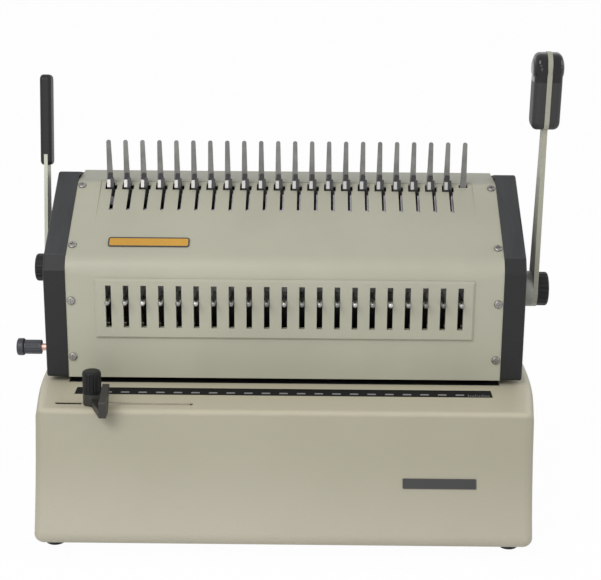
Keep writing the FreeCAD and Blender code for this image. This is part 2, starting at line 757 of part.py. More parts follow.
def shaft_bushes():
    bushes = []
    for side in (-1, 1):
        for y, z in ((DRIVE_Y, DRIVE_Z), (OPENER_Y, OPENER_Z)):
            x0, x1 = sorted((side * FRAME_IN, side * FRAME_OUT))
            f0, f1 = sorted((side * FRAME_OUT, side * (FRAME_OUT + 2.0)))
            bush = rod_x(BUSH_R, x0, x1, y, z).fuse(rod_x(12.0, f0, f1, y, z))
            bush = bush.cut(rod_x(SHAFT_R + FIT, x0 - 4, x1 + 4, y, z))
            bushes.append(bush.removeSplitter())
    return bushes


def return_springs():
    """Compression springs between the guide plate and the pressure bar's ends."""
    coils = 9
    wire_r = 0.8
    coil_r = 4.4
    low = GUIDE_TOP + wire_r
    height = BAR_BOTTOM - GUIDE_TOP - 2 * wire_r
    helix = Part.makeHelix(height / coils, height, coil_r)
    section = Part.Wire(Part.makeCircle(wire_r, Vector(coil_r, 0, 0), Vector(0, 1, 0)))
    spring = helix.makePipeShell([section], True, True)
    spring.translate(Vector(158.0, -8.0, low))
    return both_sides(spring)


# Comb opener


def opener_contact():
    """Where the rack meets the pinion, in slope terms: s and n of the pitch point."""
    dy = OPENER_Y - BEND_Y
    dz = OPENER_Z - BEND_Z
    s = dy * slope_dy + dz * slope_dz
    n = dy * slope_dz - dz * slope_dy
    return s, n + MODULE * OPENER_TEETH / 2


def opener_pinions():
    x0 = OPENER_PINION_X - PINION_WIDTH / 2
    up = math.atan2(-slope_dy, slope_dz)
    gear = pinion(OPENER_TEETH, x0, x0 + PINION_WIDTH, OPENER_Y, OPENER_Z, up)
    return both_sides(gear)


def hook_carrier():
    """Comb-shaped plate under the sloping panel, with a rack hung from it at each end."""
    bar = slope_block(-166, 166, CARRIER_START, CARRIER_END, CARRIER_BOTTOM, CARRIER_TOP)
    for x in finger_xs[:HOLES]:
        middle = x + HOOK_SHIFT
        sides = (middle - 3.6, middle + 0.4)
        bar = bar.cut(slope_block(*sides, CARRIER_START - 1, CARRIER_END - 5, CARRIER_BOTTOM - 1, CARRIER_TOP + 1))
    tongue = slope_block(165, 175.0, CARRIER_START + 2, RACK_BLOCK_END - 1, CARRIER_BOTTOM, CARRIER_TOP)
    for side in both_sides(tongue):
        bar = bar.fuse(side)
    contact_s, contact_n = opener_contact()
    teeth = rack_outline(HOOK_TRAVEL + 9.0, -HOOK_TRAVEL - 5.0, -9.0)
    side = [on_slope(contact_s + along, contact_n - out) for along, out in teeth]
    for x0 in (-OPENER_PINION_X - 4, OPENER_PINION_X - 4):
        bar = bar.fuse(side_prism(side, x0, x0 + 8))
        bar = bar.fuse(slope_block(x0, x0 + 8, 11.5, RACK_BLOCK_END, contact_n + 5, CARRIER_BOTTOM + 0.5))
    return bar.removeSplitter()


def comb_hooks():
    """Stamped hooks: a stem through the slot, a link, a nose before the finger, and its apron."""
    hooks = []
    for x in finger_xs[:HOLES]:
        edge = x + HOOK_SHIFT + 0.4
        stem = slope_block(edge - 1.1, edge, 9.6, 12.6, CARRIER_BOTTOM + 0.5, 2.6)
        link = side_prism([(36.6, 253.2), (38.3, 253.6), (41.0, 260.4), (39.7, 260.4)], x + 0.9, edge)
        nose = box(x - 1.3, x + 2.4, 39.7, 41.8, 259.9, 263.7)
        apron = side_prism([(37.6, 252.9), (38.6, 252.9), (40.9, 260.4), (39.9, 260.4)], x - 2.0, x + 0.7)
        hooks.append(stem.fuse([link, nose, apron]).removeSplitter())
    return hooks


def finger_front(z):
    """Y of the fingers' front face at a height."""
    return BEND_Y - FINGER_FROM_BEND - (z - BEND_Z) * math.tan(FINGER_LEAN)


def comb_fingers():
    """Rail under the top strip and the fixed fingers that stand on it."""
    rail_top = FINGER_RAIL_TOP
    rail_low = FINGER_RAIL_LOW
    thick = FINGER_T / math.cos(FINGER_LEAN)
    side = [
        (finger_front(rail_low), rail_low),
        (finger_front(rail_top), rail_top),
        (finger_front(rail_top) + thick, rail_top),
        (finger_front(rail_low) + thick, rail_low),
    ]
    rail = side_prism(side, -FRAME_IN, FRAME_IN)
    ears = box(FRAME_IN - 2.0, FRAME_IN, finger_front(rail_low) + 1, 62.0, rail_low + 2, rail_top - 1)
    ears = ears.cut(rod_x(2.0 + FIT, FRAME_IN - 4, FRAME_IN + 1, 55.0, 243.0))
    for ear in both_sides(ears):
        rail = rail.fuse(ear)
    pieces = [rail.removeSplitter()]
    for x in finger_xs:
        root = FINGER_ROOT_WIDTH / 2
        tip = FINGER_TIP_WIDTH / 2
        front = [
            (x - root, rail_top, 0),
            (x + root, rail_top, 0),
            (x + root, BEND_Z + 1, 0),
            (x + tip, FINGER_TIP_Z, tip * 0.9),
            (x - tip, FINGER_TIP_Z, tip * 0.9),
            (x - root, BEND_Z + 1, 0),
        ]
        blade = top_prism(front, -80, 80)
        blade.rotate(Vector(0, 0, 0), Vector(1, 0, 0), 90)
        slab = side_prism(
            [
                (finger_front(rail_top), rail_top),
                (finger_front(FINGER_TIP_Z + 1), FINGER_TIP_Z + 1),
                (finger_front(FINGER_TIP_Z + 1) + thick, FINGER_TIP_Z + 1),
                (finger_front(rail_top) + thick, rail_top),
            ],
            x - 6,
            x + 6,
        )
        pieces.append(slab.common(blade))
    return pieces


# Levers


def lever_point(axis_y, axis_z, lean, along, across):
    """Side-view point along a lever from its axis, and across it towards +Y."""
    up_y = -math.sin(lean)
    up_z = math.cos(lean)
    return (axis_y + along * up_y + across * up_z, axis_z + along * up_z - across * up_y)


def punch_arm_point(along, across, r=0.0):
    y, z = lever_point(DRIVE_Y, DRIVE_Z, PUNCH_LEVER_LEAN, along, across)
    return (y, z, r)


def comb_arm_point(along, across, r=0.0):
    y, z = lever_point(OPENER_Y, OPENER_Z, COMB_LEVER_LEAN, along, across)
    return (y, z, r)


def punch_grip_outline(grow):
    """Side-view outline of the grip: round top, smaller corners below."""
    half = PUNCH_GRIP_DEPTH / 2 + grow
    top = PUNCH_LEVER_LENGTH + grow
    low = PUNCH_LEVER_LENGTH - PUNCH_GRIP_LENGTH - grow
    return [
        punch_arm_point(low, -half, 8 + grow),
        punch_arm_point(low, half, 8 + grow),
        punch_arm_point(top, half, 10 + grow),
        punch_arm_point(top, -half, 10 + grow),
    ]


def punch_grip_head_outline():
    """Side-view outline of the swollen head of the grip."""
    half = PUNCH_HEAD_DEPTH / 2
    low = PUNCH_LEVER_LENGTH - PUNCH_HEAD_LENGTH
    return [
        punch_arm_point(low, -half, 10),
        punch_arm_point(low, half, 10),
        punch_arm_point(PUNCH_LEVER_LENGTH - 0.4, half, 12),
        punch_arm_point(PUNCH_LEVER_LENGTH - 0.4, -half, 12),
    ]


def punch_lever_arm():
    start = PUNCH_LEVER_LENGTH - PUNCH_GRIP_LENGTH
    bar = side_prism(
        [
            punch_arm_point(-2, -14.5),
            punch_arm_point(-2, 14.5),
            punch_arm_point(start + 12, 5.5),
            punch_arm_point(start + 12, -5.5),
        ],
        PUNCH_ARM_IN,
        PUNCH_ARM_OUT,
    )
    eye = rod_x(15.0, PUNCH_ARM_IN, PUNCH_ARM_OUT, DRIVE_Y, DRIVE_Z)
    plate = side_prism(punch_grip_outline(0.5), PUNCH_ARM_IN, PUNCH_ARM_OUT)
    arm = bar.fuse([eye, plate]).removeSplitter()
    return arm.cut(rod_x(SHAFT_R + FIT, PUNCH_ARM_IN - 1, PUNCH_ARM_OUT + 1, DRIVE_Y, DRIVE_Z))


def rim_rounded(solid, x, r):
    """Solid whose edges in the plane at x are rounded."""
    rim = [e for e in solid.Edges if abs(e.BoundBox.XMin - x) < 0.01 and abs(e.BoundBox.XMax - x) < 0.01]
    return solid.makeFillet(r, rim)


def punch_lever_grip():
    """Two moulded halves, one on each side of the arm, each with a swollen head."""
    halves = []
    for face, outer, step in ((PUNCH_ARM_IN, PUNCH_GRIP_IN, 1.0), (PUNCH_ARM_OUT, PUNCH_GRIP_OUT, -1.0)):
        x0, x1 = sorted((face, outer))
        head = rim_rounded(side_prism(punch_grip_head_outline(), x0, x1), outer, 7.5)
        x0, x1 = sorted((face, outer + step))
        body = rim_rounded(side_prism(punch_grip_outline(0), x0, x1), outer + step, 5.0)
        halves.append(head.fuse(body).removeSplitter())
    return halves


def punch_lever_hub():
    hub = rod_x(15.0, 197.2, PUNCH_ARM_IN, DRIVE_Y, DRIVE_Z)
    hub = hub.makeChamfer(1.0, [e for e in hub.Edges if e.BoundBox.XMax < 197.3])
    return hub.cut(rod_x(SHAFT_R + FIT, 196, PUNCH_ARM_IN + 1, DRIVE_Y, DRIVE_Z))


def fluted_knob(r, height, flutes, bore_r, bore_depth):
    """Knob on z = 0 with flutes round it, a domed end and a blind bore below."""
    body = Part.makeCylinder(r, height)
    body = body.makeFillet(2.2, [e for e in body.Edges if e.BoundBox.ZMin > height - 0.1])
    for i in range(flutes):
        a = 2 * math.pi * i / flutes
        groove = Part.makeCylinder(1.0, height, Vector((r + 0.45) * math.cos(a), (r + 0.45) * math.sin(a), 1.2))
        body = body.cut(groove)
    if bore_r > 0:
        body = body.cut(Part.makeCylinder(bore_r, bore_depth + 1, Vector(0, 0, -1)))
    return body


def punch_lever_knob():
    knob = fluted_knob(14.3, 9.8, 20, SHAFT_R + FIT, 3.0)
    return turned(knob, PUNCH_ARM_OUT, DRIVE_Y, DRIVE_Z, Vector(1, 0, 0))


def comb_lever_arm():
    bar = side_prism(
        [
            comb_arm_point(-2, -10.5),
            comb_arm_point(-2, 10.5),
            comb_arm_point(COMB_LEVER_LENGTH - 8, 6.5, 5.0),
            comb_arm_point(COMB_LEVER_LENGTH - 8, -6.5, 5.0),
        ],
        COMB_ARM_OUT,
        COMB_ARM_IN,
    )
    eye = rod_x(12.0, COMB_ARM_OUT, COMB_ARM_IN, OPENER_Y, OPENER_Z)
    arm = bar.fuse(eye).removeSplitter()
    return arm.cut(rod_x(SHAFT_R + FIT, COMB_ARM_OUT - 1, COMB_ARM_IN + 1, OPENER_Y, OPENER_Z))


def comb_lever_grip():
    half = COMB_GRIP_DEPTH / 2
    low = COMB_LEVER_LENGTH - COMB_GRIP_LENGTH
    grip = side_prism(
        [
            comb_arm_point(low, -half, 4),
            comb_arm_point(low, half, 4),
            comb_arm_point(COMB_LEVER_LENGTH, half, 5),
            comb_arm_point(COMB_LEVER_LENGTH, -half, 5),
        ],
        COMB_GRIP_X - COMB_GRIP_T / 2,
        COMB_GRIP_X + COMB_GRIP_T / 2,
    )
    rims = [e for e in grip.Edges if abs(e.BoundBox.XMin - e.BoundBox.XMax) < 0.01]
    grip = grip.makeFillet(3.0, rims)
    return grip.cut(comb_lever_arm())


def comb_lever_knob():
    knob = fluted_knob(11.9, 8.8, 18, SHAFT_R + FIT, 3.0)
    return turned(knob, COMB_ARM_OUT, OPENER_Y, OPENER_Z, Vector(-1, 0, 0))


def comb_lever_collar():
    """Spacer between the left cap and the comb lever's arm."""
    ring = rod_x(9.0, COMB_ARM_IN, -196.6, OPENER_Y, OPENER_Z)
    return ring.cut(rod_x(SHAFT_R + FIT, COMB_ARM_IN - 1, -190, OPENER_Y, OPENER_Z))


# Edge guide and depth stop


def edge_guide_fence():
    """Fence plate that the sheet's edge meets, its gusset, and the block under the knob."""
    floor = DECK + 0.2
    fence = side_prism(
        [(GUIDE_FRONT, floor), (GUIDE_FRONT, 117.9, 1.5), (-97.0, 124.4, 3.0), (-92.5, 124.4, 1.5), (-108.0, floor)],
        -141.4,
        -136.2,
    )
    block = top_prism(
        [(-158.4, -89.0, 2), (-156.5, -93.8, 2), (-150.8, -96.2, 0), (-141.0, -96.2, 0), (-141.0, -80.6, 0), (-158.4, -80.6, 3)],
        floor,
        GUIDE_TOP_Z,
    )
    gusset = top_prism([(-150.8, -96.0), (-141.4, GUIDE_FRONT), (-139.0, GUIDE_FRONT), (-139.0, -96.0)], floor, 111.5)
    guide = fence.fuse([block, gusset]).removeSplitter()
    return guide.cut(rod_z(2.0 + FIT, DECK - 1, GUIDE_TOP_Z + 1, GUIDE_KNOB_X, GUIDE_SLOT_Y))


def edge_guide_knob():
    """Clamp knob whose stem goes down through the deck slot."""
    knob = fluted_knob(7.4, 17.6, 16, 0, 0)
    stem = Part.makeCylinder(2.0, GUIDE_TOP_Z - 101.0, Vector(0, 0, 101.0 - GUIDE_TOP_Z))
    knob = knob.fuse(stem)
    return turned(knob, GUIDE_KNOB_X, GUIDE_SLOT_Y, GUIDE_TOP_Z + 0.1, Vector(0, 0, 1))


def edge_guide_slider():
    """Strip under the deck that the stem screws into, with a tongue up in the slot."""
    strip = box(-167.0, -77.0, GUIDE_SLOT_Y - 5.0, GUIDE_SLOT_Y + 4.5, 100.2, DECK - WALL - 0.2)
    tongue = box(-160.0, -73.6, GUIDE_SLOT_Y - 2.2, GUIDE_SLOT_Y + 2.2, 101.0, DECK - 0.4)
    strip = strip.fuse(tongue)
    return strip.cut(rod_z(2.0 + FIT, 90, 120, GUIDE_KNOB_X, GUIDE_SLOT_Y)).removeSplitter()


def depth_stop_bar():
    """Rod across the throat, with stop blades that hang into it."""
    rod = rod_x(4.0, -197.0, FRAME_OUT, STOP_Y, STOP_Z)
    half = math.radians(20)
    tip_r = 14.0
    for x in (-120.0, -40.0, 40.0, 120.0):
        left = (STOP_Y - tip_r * math.sin(half), STOP_Z - tip_r * math.cos(half), 0)
        right = (STOP_Y + tip_r * math.sin(half), STOP_Z - tip_r * math.cos(half), 0)
        blade = side_prism([(STOP_Y - 2.5, STOP_Z, 0), left, right, (STOP_Y + 2.5, STOP_Z, 0)], x - 15, x + 15)
        rod = rod.fuse(blade)
    rod = rod.fuse(rod_x(3.0, -212.0, -196.0, STOP_Y, STOP_Z))
    return rod.removeSplitter()


def depth_knob():
    body = rod_x(6.1, -223.0, -208.0, STOP_Y, STOP_Z)
    flange = rod_x(7.4, -228.6, -222.0, STOP_Y, STOP_Z)
    flange = flange.makeFillet(1.8, [e for e in flange.Edges if isinstance(e.Curve, Part.Circle)])
    knob = body.fuse(flange).removeSplitter()
    for i in range(12):
        a = 2 * math.pi * i / 12
        groove = rod_x(0.7, -221.0, -209.0, STOP_Y + 6.4 * math.cos(a), STOP_Z + 6.4 * math.sin(a))
        knob = knob.cut(groove)
    return knob.cut(rod_x(3.0 + FIT, -212.2, -200.0, STOP_Y, STOP_Z))


os.makedirs("parts", exist_ok=True)
save("base_housing", base_housing())
save("base_bottom_plate", base_bottom_plate())
save("rubber_feet", *rubber_feet())
save("chip_drawer", chip_drawer())
save("hole_scale_strip", hole_scale_strip())
save("front_cover", front_cover())
save("rear_cover", rear_cover())
left_cap, right_cap = end_caps()
save("left_end_cap", left_cap)
save("right_end_cap", right_cap)
frame_right = right_side_frame()
save("right_side_frame", frame_right)
save("left_side_frame", mirrored(frame_right))
save("case_screws", *case_screws())
save("frame_bolts", *frame_bolts())
save("die_plate", die_plate())
save("punch_guide_plate", punch_guide_plate())
save("punch_pins", *punch_pins())
save("pressure_bar", pressure_bar())
save("punch_racks", *punch_racks())
save("return_springs", *return_springs())
save("drive_shaft", drive_shaft())
save("drive_pinions", *drive_pinions())
save("shaft_bushes", *shaft_bushes())
save("opener_shaft", opener_shaft())
save("opener_pinions", *opener_pinions())
save("hook_carrier", hook_carrier())
save("comb_hooks", *comb_hooks())
save("comb_fingers", *comb_fingers())
save("punch_lever_arm", punch_lever_arm())
save("punch_lever_grip", *punch_lever_grip())
save("punch_lever_hub", punch_lever_hub())
save("punch_lever_knob", punch_lever_knob())
save("comb_lever_arm", comb_lever_arm())
save("comb_lever_grip", comb_lever_grip())
save("comb_lever_knob", comb_lever_knob(), comb_lever_collar())
save("edge_guide_fence", edge_guide_fence())
save("edge_guide_knob", edge_guide_knob())
save("edge_guide_slider", edge_guide_slider())
save("depth_stop_bar", depth_stop_bar())
save("depth_knob", depth_knob())
for number, hole_x in enumerate(hole_xs, start=1):
    save("selector_pin_%02d" % number, selector_pin(hole_x))
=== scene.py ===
import math

import bmesh
import bpy
from mathutils import Matrix, Vector


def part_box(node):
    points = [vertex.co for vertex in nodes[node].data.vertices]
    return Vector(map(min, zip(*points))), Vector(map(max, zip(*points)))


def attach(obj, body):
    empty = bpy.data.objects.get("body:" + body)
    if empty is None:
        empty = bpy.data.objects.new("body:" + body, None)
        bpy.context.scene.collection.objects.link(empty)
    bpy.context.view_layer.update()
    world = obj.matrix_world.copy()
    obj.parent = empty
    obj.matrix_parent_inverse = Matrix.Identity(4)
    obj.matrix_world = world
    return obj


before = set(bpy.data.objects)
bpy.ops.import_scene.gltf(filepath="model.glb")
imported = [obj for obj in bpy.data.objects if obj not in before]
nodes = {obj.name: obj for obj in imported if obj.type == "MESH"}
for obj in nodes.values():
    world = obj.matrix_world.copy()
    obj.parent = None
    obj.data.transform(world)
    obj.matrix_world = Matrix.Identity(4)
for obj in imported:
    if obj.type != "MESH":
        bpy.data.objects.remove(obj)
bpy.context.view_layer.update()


# The painted steel case: a front sheet bent over the slope and the top strip, and a
# vented rear sheet. Both have a warm grey powder coat with a fine orange peel, and the
# top strip is painted darker and greyer as painted shade.


class Signal:
    """A shader socket that can be used in sums, differences and products."""

    def __init__(self, tree, socket=None):
        self.tree = tree
        self.socket = socket

    def node(self, kind, settings, sockets, output=0):
        """Adds a node, sets it, fills or links its sockets, and gives one output."""
        new = self.tree.nodes.new(kind)
        for key, value in settings.items():
            setattr(new, key, value)
        for key, value in sockets.items():
            if isinstance(value, Signal):
                self.tree.links.new(value.socket, new.inputs[key])
            else:
                new.inputs[key].default_value = value
        return Signal(self.tree, new.outputs[output]) if new.outputs else None

    def maths(self, operation, first, second):
        return self.node("ShaderNodeMath", {"operation": operation}, {0: first, 1: second})

    def __add__(self, other):
        return self.maths("ADD", self, other)

    __radd__ = __add__

    def __sub__(self, other):
        return self.maths("SUBTRACT", self, other)

    def __rsub__(self, other):
        return self.maths("SUBTRACT", other, self)

    def __mul__(self, other):
        return self.maths("MULTIPLY", self, other)

    __rmul__ = __mul__


def new_finish(name):
    """An empty material and the signal that its nodes grow from."""
    material = bpy.data.materials.new(name)
    material.use_nodes = True
    material.node_tree.nodes.clear()
    return material, Signal(material.node_tree)


def close_finish(start, varying, fixed):
    """Ends a finish in one Principled shader: linked sockets first, then constants."""
    shader = start.node("ShaderNodeBsdfPrincipled", {}, {**varying, **fixed})
    start.node("ShaderNodeOutputMaterial", {}, {"Surface": shader})


def place_on_piece(start, stretch=(1.0, 1.0, 1.0)):
    """Object coordinates in metres, stretched along the axes."""
    here = start.node("ShaderNodeTexCoord", {}, {}, "Object")
    return start.node("ShaderNodeMapping", {}, {"Vector": here, "Scale": stretch})


def along(start, where, axis):
    """One coordinate of a vector."""
    return start.node("ShaderNodeSeparateXYZ", {}, {"Vector": where}, axis)


def speckle(start, where, scale, detail=2.0, rough=0.5):
    """Noise from 0 to 1 with that many grains to the metre."""
    sockets = {"Vector": where, "Scale": scale, "Detail": detail, "Roughness": rough}
    return start.node("ShaderNodeTexNoise", {}, sockets, "Fac")


def spread(start, signal, low, high, out_low, out_high):
    """Smoothly maps low..high to out_low..out_high."""
    return start.node(
        "ShaderNodeMapRange",
        {"interpolation_type": "SMOOTHSTEP"},
        {"Value": signal, "From Min": low, "From Max": high, "To Min": out_low, "To Max": out_high},
    )


def blend_colours(start, amount, first, second):
    """Colour between two colours by amount."""
    sockets = {0: amount, 6: first, 7: second}
    for key in (6, 7):
        if not isinstance(sockets[key], Signal):
            sockets[key] = (*sockets[key], 1.0)
    return start.node("ShaderNodeMix", {"data_type": "RGBA"}, sockets, 2)


def grains(start, fine, most):
    """How much the fine grain shows in the colour, up to most."""
    return spread(start, fine, 0.35, 0.72, 0.0, most)


def clouds(start, slow):
    """Slow noise stretched to the whole of 0 to 1."""
    return spread(start, slow, 0.3, 0.7, 0.0, 1.0)


def relief(start, height, distance):
    """Normal bumped by a height signal."""
    sockets = {"Height": height, "Distance": distance, "Strength": 1.0}
    return start.node("ShaderNodeBump", {}, sockets)


def dress(material, *names):
    """Gives CAD nodes their finish."""
    for name in names:
        piece = nodes[name]
        piece.data.materials.clear()
        piece.data.materials.append(material)


def coated(name, colour, shade, roughness, grain, depth, gloss=0.5):
    """Paint or moulded plastic: fine grain, slow mottling and rubbed, shinier patches."""
    material, start = new_finish(name)
    here = place_on_piece(start)
    fine = speckle(start, here, grain, 3.0, 0.55)
    slow = speckle(start, here, 9.0, 3.0, 0.6)
    rubbed = spread(start, speckle(start, here, 31.0, 5.0, 0.65), 0.52, 0.74, 0.0, 1.0)
    tone = blend_colours(start, clouds(start, slow), shade, colour)
    speck = blend_colours(start, grains(start, fine, 0.22), tone, shade)
    close_finish(
        start,
        {
            "Base Color": speck,
            "Roughness": roughness + fine * 0.08 - rubbed * 0.07,
            "Normal": relief(start, fine, depth),
        },
        {"Specular IOR Level": gloss},
    )
    return material


BEND = Vector((0.0, 0.047, 0.257))
case_paint, start = new_finish("case_paint")
here = place_on_piece(start)
level = along(start, here, "Z")
# Painted shade: above the bend the top strip is painted darker, greyer and a little rougher.
painted_top_shading = spread(start, level, BEND.z - 0.0022, BEND.z - 0.0002, 0.0, 0.85)
fine = speckle(start, here, 1500.0, 3.0, 0.55)
slow = clouds(start, speckle(start, here, 9.0, 3.0, 0.6))
paint = blend_colours(start, slow, (0.412, 0.405, 0.322), (0.448, 0.442, 0.352))
tone = blend_colours(start, painted_top_shading, paint, (0.345, 0.345, 0.290))
close_finish(
    start,
    {
        "Base Color": blend_colours(start, grains(start, fine, 0.22), tone, (0.360, 0.352, 0.275)),
        "Roughness": 0.40 + fine * 0.08 + painted_top_shading * 0.12,
        "Normal": relief(start, fine, 0.00009),
    },
    {},
)
dress(case_paint, "front_cover", "rear_cover")


# The base is one moulded shell in a slightly warmer tone than the case, with a fine
# grain. Its deck is painted paler as painted light from above, and its sides are painted
# lighter towards the bottom as painted light bounced up from the table. A zinc-plated
# steel plate closes it from below, and four rubber feet are pressed into the plate's corners.

DECK_TOP = 0.1048
base_plastic, start = new_finish("base_plastic")
here = place_on_piece(start)
level = along(start, here, "Z")
# Painted light: the deck is painted paler and a little shinier, as light from above.
painted_deck_light = spread(start, level + speckle(start, here, 40.0) * 0.0012, DECK_TOP - 0.003, DECK_TOP, 0.0, 1.0)
fine = speckle(start, here, 1900.0, 3.0, 0.55)
slow = clouds(start, speckle(start, here, 8.0, 3.0, 0.6))
# Painted light: the sides are painted lighter towards the bottom, as light bounced up from the table.
painted_bounce_light = spread(start, level, 0.012, 0.085, 0.0, 1.0)
sides = blend_colours(start, painted_bounce_light * 0.8 + slow * 0.2, (0.445, 0.418, 0.332), (0.352, 0.330, 0.250))
tone = blend_colours(start, painted_deck_light, sides, (0.560, 0.522, 0.395))
close_finish(
    start,
    {
        "Base Color": blend_colours(start, grains(start, fine, 0.25), tone, (0.330, 0.305, 0.230)),
        "Roughness": 0.50 + fine * 0.08 - painted_deck_light * 0.08,
        "Normal": relief(start, fine, 0.00012),
    },
    {},
)
dress(base_plastic, "base_housing")


def plated(name, bright, dull, roughness, lines=(1.0, 1.0, 1.0), grain=420.0, metallic=1.0):
    """Plated or ground steel: drawn lines along one axis, with cloudy patches."""
    material, start = new_finish(name)
    drawn = speckle(start, place_on_piece(start, lines), grain, 4.0, 0.6)
    cloud = speckle(start, place_on_piece(start), 60.0, 4.0, 0.6)
    tone = blend_colours(start, spread(start, cloud, 0.32, 0.68, 0.0, 1.0), dull, bright)
    close_finish(
        start,
        {
            "Base Color": blend_colours(start, drawn * 0.35, tone, dull),
            "Roughness": roughness + drawn * 0.12 + cloud * 0.06,
            "Normal": relief(start, drawn, 0.00003),
        },
        {"Metallic": metallic},
    )
    return material


zinc_plate = plated("zinc_plate", (0.56, 0.56, 0.58), (0.42, 0.42, 0.44), 0.30)
dress(zinc_plate, "base_bottom_plate")

foot_rubber = coated(
    "foot_rubber", (0.030, 0.030, 0.033), (0.022, 0.022, 0.025), 0.74, 1300.0, 0.0001, 0.3
)
dress(foot_rubber, "rubber_feet")


# The chip drawer slides out of the back of the base. It is moulded in dark grey
# plastic, with a finger pull let into its face.

drawer_plastic = coated(
    "drawer_plastic", (0.060, 0.064, 0.074), (0.045, 0.049, 0.058), 0.44, 1700.0, 0.0001
)
dress(drawer_plastic, "chip_drawer")


# The hole scale is a strip of black plastic let into the deck. It has one pale dash for
# each hole, printed in its shallow pocket, and fine ruled marks at its right end.

PITCH = 0.0142875
HOLES = 21
strip_low, strip_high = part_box("hole_scale_strip")
strip_plastic = coated(
    "strip_plastic", (0.012, 0.012, 0.013), (0.008, 0.008, 0.009), 0.60, 1600.0, 0.00006, 0.12
)
dress(strip_plastic, "hole_scale_strip")


def place_piece(mesh, name, material, body):
    """Turns a finished bmesh into a piece that rides on a body."""
    data = bpy.data.meshes.new(name)
    mesh.to_mesh(data)
    mesh.free()
    piece = bpy.data.objects.new(name, data)
    bpy.context.scene.collection.objects.link(piece)
    for one in material:
        data.materials.append(one)
    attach(piece, body)
    return piece


def add_plate(mesh, width, depth, corner, thick, place):
    """Adds a flat plate with rounded corners, its underside on the place's XY plane."""
    made = bmesh.ops.create_grid(mesh, x_segments=1, y_segments=1, size=0.5)["verts"]
    bmesh.ops.scale(mesh, vec=(width, depth, 1.0), verts=made)
    bevelled = bmesh.ops.bevel(
        mesh, geom=made, offset=corner, offset_type="OFFSET", affect="VERTICES",
        segments=4, profile=0.5, material=-1,
    )
    rounded = set(bevelled["verts"])
    face = max((f for f in mesh.faces if rounded & set(f.verts)), key=lambda f: len(f.verts))
    risen = bmesh.ops.extrude_face_region(mesh, geom=[face])["geom"]
    top = [v for v in risen if isinstance(v, bmesh.types.BMVert)]
    bmesh.ops.translate(mesh, vec=(0.0, 0.0, thick), verts=top)
    lid = [f for f in risen if isinstance(f, bmesh.types.BMFace)]
    whole = set(top) | set(face.verts)
    bmesh.ops.transform(mesh, matrix=place, verts=list(whole))
    return lid[0]


INK_THICK = 0.00012
DASH_MIDDLE = -0.0607
DASH_POCKET = 0.0003
TICK_PITCH = 0.0015
TICK_LEFT = 0.1495
TICK_START = strip_low[1] + 0.0018
marks = bmesh.new()
for hole in range(HOLES):
    x = PITCH * (hole - (HOLES - 1) / 2)
    dash_place = Matrix.Translation((x, DASH_MIDDLE, strip_high[2] - DASH_POCKET))
    add_plate(marks, 0.0070, 0.0032, 0.0009, INK_THICK, dash_place)
for tick in range(12):
    long = 0.0046 if tick % 4 == 0 else 0.003
    x = TICK_LEFT + tick * TICK_PITCH
    tick_place = Matrix.Translation((x, TICK_START + long / 2, strip_high[2]))
    add_plate(marks, 0.0004, long, 0.0001, INK_THICK, tick_place)
bmesh.ops.recalc_face_normals(marks, faces=marks.faces)
mark_ink = coated("mark_ink", (0.330, 0.320, 0.340), (0.270, 0.262, 0.280), 0.40, 2100.0, 0.00002)
place_piece(marks, "hole_marks", [mark_ink], "machine")


# The end caps close the case's two ends. They are moulded in black plastic with a fine
# grain, and each is held by three screws. Their slope and top faces are painted a lighter
# grey in streaks, a painted sheen of light from above.

FOLD = Vector((0.0, -0.038, 0.207))
SLOPE = math.atan2(BEND.z - FOLD.z, BEND.y - FOLD.y)
CAP_PROUD = 0.0007
CAP_TOP = 0.26434
CAP_TOP_FALL = 0.2363


def out_of_slope(start, here):
    """Height over the plane of the case's slope."""
    away = along(start, here, "Y") - BEND.y
    rise = along(start, here, "Z") - BEND.z
    return away * -math.sin(SLOPE) + rise * math.cos(SLOPE)


cap_plastic, start = new_finish("cap_plastic")
here = place_on_piece(start)
on_front = spread(start, out_of_slope(start, here), CAP_PROUD - 0.0006, CAP_PROUD - 0.0001, 0.0, 1.0)
level_top = along(start, here, "Z") + (along(start, here, "Y") - BEND.y) * CAP_TOP_FALL
on_top = spread(start, level_top, CAP_TOP - 0.0008, CAP_TOP - 0.0002, 0.0, 1.0)
upward = start.maths("MAXIMUM", on_front, on_top)
streaks = speckle(start, place_on_piece(start, (1.0, 0.25, 0.25)), 90.0, 4.0, 0.6)
# Painted light: the faces on the slope and the top are painted a lighter grey in streaks.
painted_top_shading = upward * spread(start, streaks, 0.25, 0.75, 0.55, 1.0)
fine = speckle(start, here, 1800.0, 3.0, 0.55)
black = blend_colours(
    start, grains(start, fine, 1.0), (0.018, 0.019, 0.020), (0.013, 0.013, 0.014)
)
close_finish(
    start,
    {
        "Base Color": blend_colours(start, painted_top_shading, black, (0.044, 0.047, 0.049)),
        "Roughness": 0.40 + fine * 0.08 + painted_top_shading * 0.10,
        "Normal": relief(start, fine, 0.0001),
    },
    {"Specular IOR Level": 0.28},
)
dress(cap_plastic, "left_end_cap", "right_end_cap")


# The frames and what is bolted to them: two zinc-plated side frames, their bolts, and
# the nickel-plated cross-head screws of the case.

dress(zinc_plate, "left_side_frame", "right_side_frame", "frame_bolts")
nickel = plated("nickel", (0.36, 0.35, 0.33), (0.24, 0.23, 0.22), 0.20, (1.0, 1.0, 1.0), 260.0)
dress(nickel, "case_screws")


# The punch set is tool steel: near-black punches in near-black die and guide plates, the
# worn plated bar that presses them down, and its ground racks, shafts, pinions and springs.

